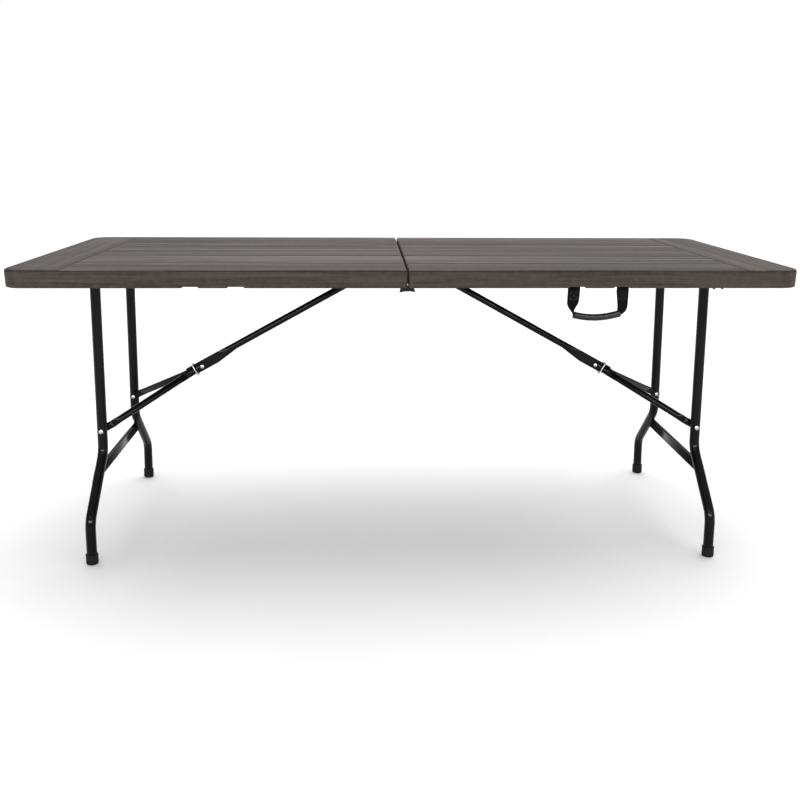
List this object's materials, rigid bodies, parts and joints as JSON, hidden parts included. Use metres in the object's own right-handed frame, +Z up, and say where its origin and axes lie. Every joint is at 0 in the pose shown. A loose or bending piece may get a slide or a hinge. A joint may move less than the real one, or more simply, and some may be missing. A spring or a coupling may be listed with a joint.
{
  "type": "folding table",
  "caption": "Fold-in-half table: moulded wood-look top halves on steel rails, two folding leg frames with hinged braces and lock rings, webbing carry handle.",
  "frame": {"origin": "on the floor under the middle of the open table", "axes": "+X along the table toward the handle half's end, -Y the handle side, +Z up"},
  "size_m": [1.8, 0.74, 0.74],
  "materials": {
    "moulded_top": "moulded wood grain, satin",
    "coated_steel": "black powder coat",
    "coated_tube": "black powder coat, satin",
    "zinc": "bright zinc plate",
    "foot_plastic": "moulded matt black",
    "webbing": "woven black webbing",
    "grip_sleeve": "ribbed black sleeve"
  },
  "bodies": {
    "left_half": {"left_top_panel": "moulded_top", "left_front_rail": "coated_steel", "left_back_rail": "coated_steel", "left_seam_beam": "coated_steel", "left_brace_bracket": "coated_steel", "left_brace_pin": "zinc", "left_pivot_brackets": "coated_steel", "left_rail_screws": "zinc", "left_front_hinge_leaf": "coated_steel", "left_back_hinge_leaf": "coated_steel", "front_hinge_pin": "coated_steel", "back_hinge_pin": "coated_steel"},
    "left_leg_frame": {"left_pivot_tube": "coated_tube", "left_front_leg": "coated_tube", "left_back_leg": "coated_tube", "left_crossbar": "coated_tube", "left_front_foot_cap": "foot_plastic", "left_back_foot_cap": "foot_plastic", "left_leg_rivets": "zinc"},
    "left_upper_strut": {"left_upper_brace": "coated_tube"},
    "left_lower_strut": {"left_front_lower_arm": "coated_tube", "left_back_lower_arm": "coated_tube", "left_elbow_rivet": "zinc", "left_arm_rivet_tails": "zinc"},
    "left_ring": {"left_lock_ring": "zinc"},
    "right_half": {"right_top_panel": "moulded_top", "right_front_rail": "coated_steel", "right_back_rail": "coated_steel", "right_seam_beam": "coated_steel", "right_brace_bracket": "coated_steel", "right_brace_pin": "zinc", "right_pivot_brackets": "coated_steel", "right_rail_screws": "zinc", "right_front_hinge_leaf": "coated_steel", "right_back_hinge_leaf": "coated_steel", "strap_anchor_tabs": "webbing", "strap_anchor_plates": "coated_steel", "strap_anchor_screws": "zinc", "edge_bumpers": "foot_plastic"},
    "right_leg_frame": {"right_pivot_tube": "coated_tube", "right_front_leg": "coated_tube", "right_back_leg": "coated_tube", "right_crossbar": "coated_tube", "right_front_foot_cap": "foot_plastic", "right_back_foot_cap": "foot_plastic", "right_leg_rivets": "zinc"},
    "right_upper_strut": {"right_upper_brace": "coated_tube"},
    "right_lower_strut": {"right_front_lower_arm": "coated_tube", "right_back_lower_arm": "coated_tube", "right_elbow_rivet": "zinc", "right_arm_rivet_tails": "zinc"},
    "right_ring": {"right_lock_ring": "zinc"},
    "handle": {"handle_strap_inner": "webbing", "handle_strap_outer": "webbing", "handle_grip": "grip_sleeve"}
  },
  "joints": [
    {"name": "halves_fold", "type": "hinge", "parent": "left_half", "child": "right_half", "pos_m": [0, 0, 0.694], "axis": [0, 1, 0], "range_deg": [0, 90]},
    {"name": "left_leg_fold", "type": "hinge", "parent": "left_half", "child": "left_leg_frame", "pos_m": [-0.752, 0, 0.712], "axis": [0, -1, 0], "range_deg": [0, 92.23]},
    {"name": "left_brace_swing", "type": "hinge", "parent": "left_half", "child": "left_upper_strut", "pos_m": [-0.024, 0, 0.712], "axis": [0, 1, 0], "range_deg": [0, 29.12]},
    {"name": "left_elbow_fold", "type": "hinge", "parent": "left_upper_strut", "child": "left_lower_strut", "pos_m": [-0.53584, 0, 0.43093], "axis": [0, -1, 0], "range_deg": [0, 179.69]},
    {"name": "left_ring_slide", "type": "slide", "parent": "left_upper_strut", "child": "left_ring", "axis": [0.8765, 0, 0.4813], "range_m": [0, 0.1502]},
    {"name": "right_leg_fold", "type": "hinge", "parent": "right_half", "child": "right_leg_frame", "pos_m": [0.752, 0, 0.712], "axis": [0, 1, 0], "range_deg": [0, 92.23]},
    {"name": "right_brace_swing", "type": "hinge", "parent": "right_half", "child": "right_upper_strut", "pos_m": [0.024, 0, 0.712], "axis": [0, -1, 0], "range_deg": [0, 29.12]},
    {"name": "right_elbow_fold", "type": "hinge", "parent": "right_upper_strut", "child": "right_lower_strut", "pos_m": [0.53584, 0, 0.43093], "axis": [0, 1, 0], "range_deg": [0, 179.69]},
    {"name": "right_ring_slide", "type": "slide", "parent": "right_upper_strut", "child": "right_ring", "axis": [-0.8765, 0, 0.4813], "range_m": [0, 0.1502]},
    {"name": "handle_swing", "type": "hinge", "parent": "right_half", "child": "handle", "pos_m": [0.434, -0.3575, 0.7], "axis": [-1, 0, 0], "range_deg": [-60, 90]}
  ],
  "couplings": [
    {"joint": "left_brace_swing", "follows": "left_leg_fold", "ratio": 0.31516},
    {"joint": "left_elbow_fold", "follows": "left_leg_fold", "ratio": 1.9478},
    {"joint": "left_ring_slide", "follows": "left_leg_fold", "m_per_rad": 0.093184},
    {"joint": "right_brace_swing", "follows": "right_leg_fold", "ratio": 0.31516},
    {"joint": "right_elbow_fold", "follows": "right_leg_fold", "ratio": 1.9478},
    {"joint": "right_ring_slide", "follows": "right_leg_fold", "m_per_rad": 0.093184}
  ]
}
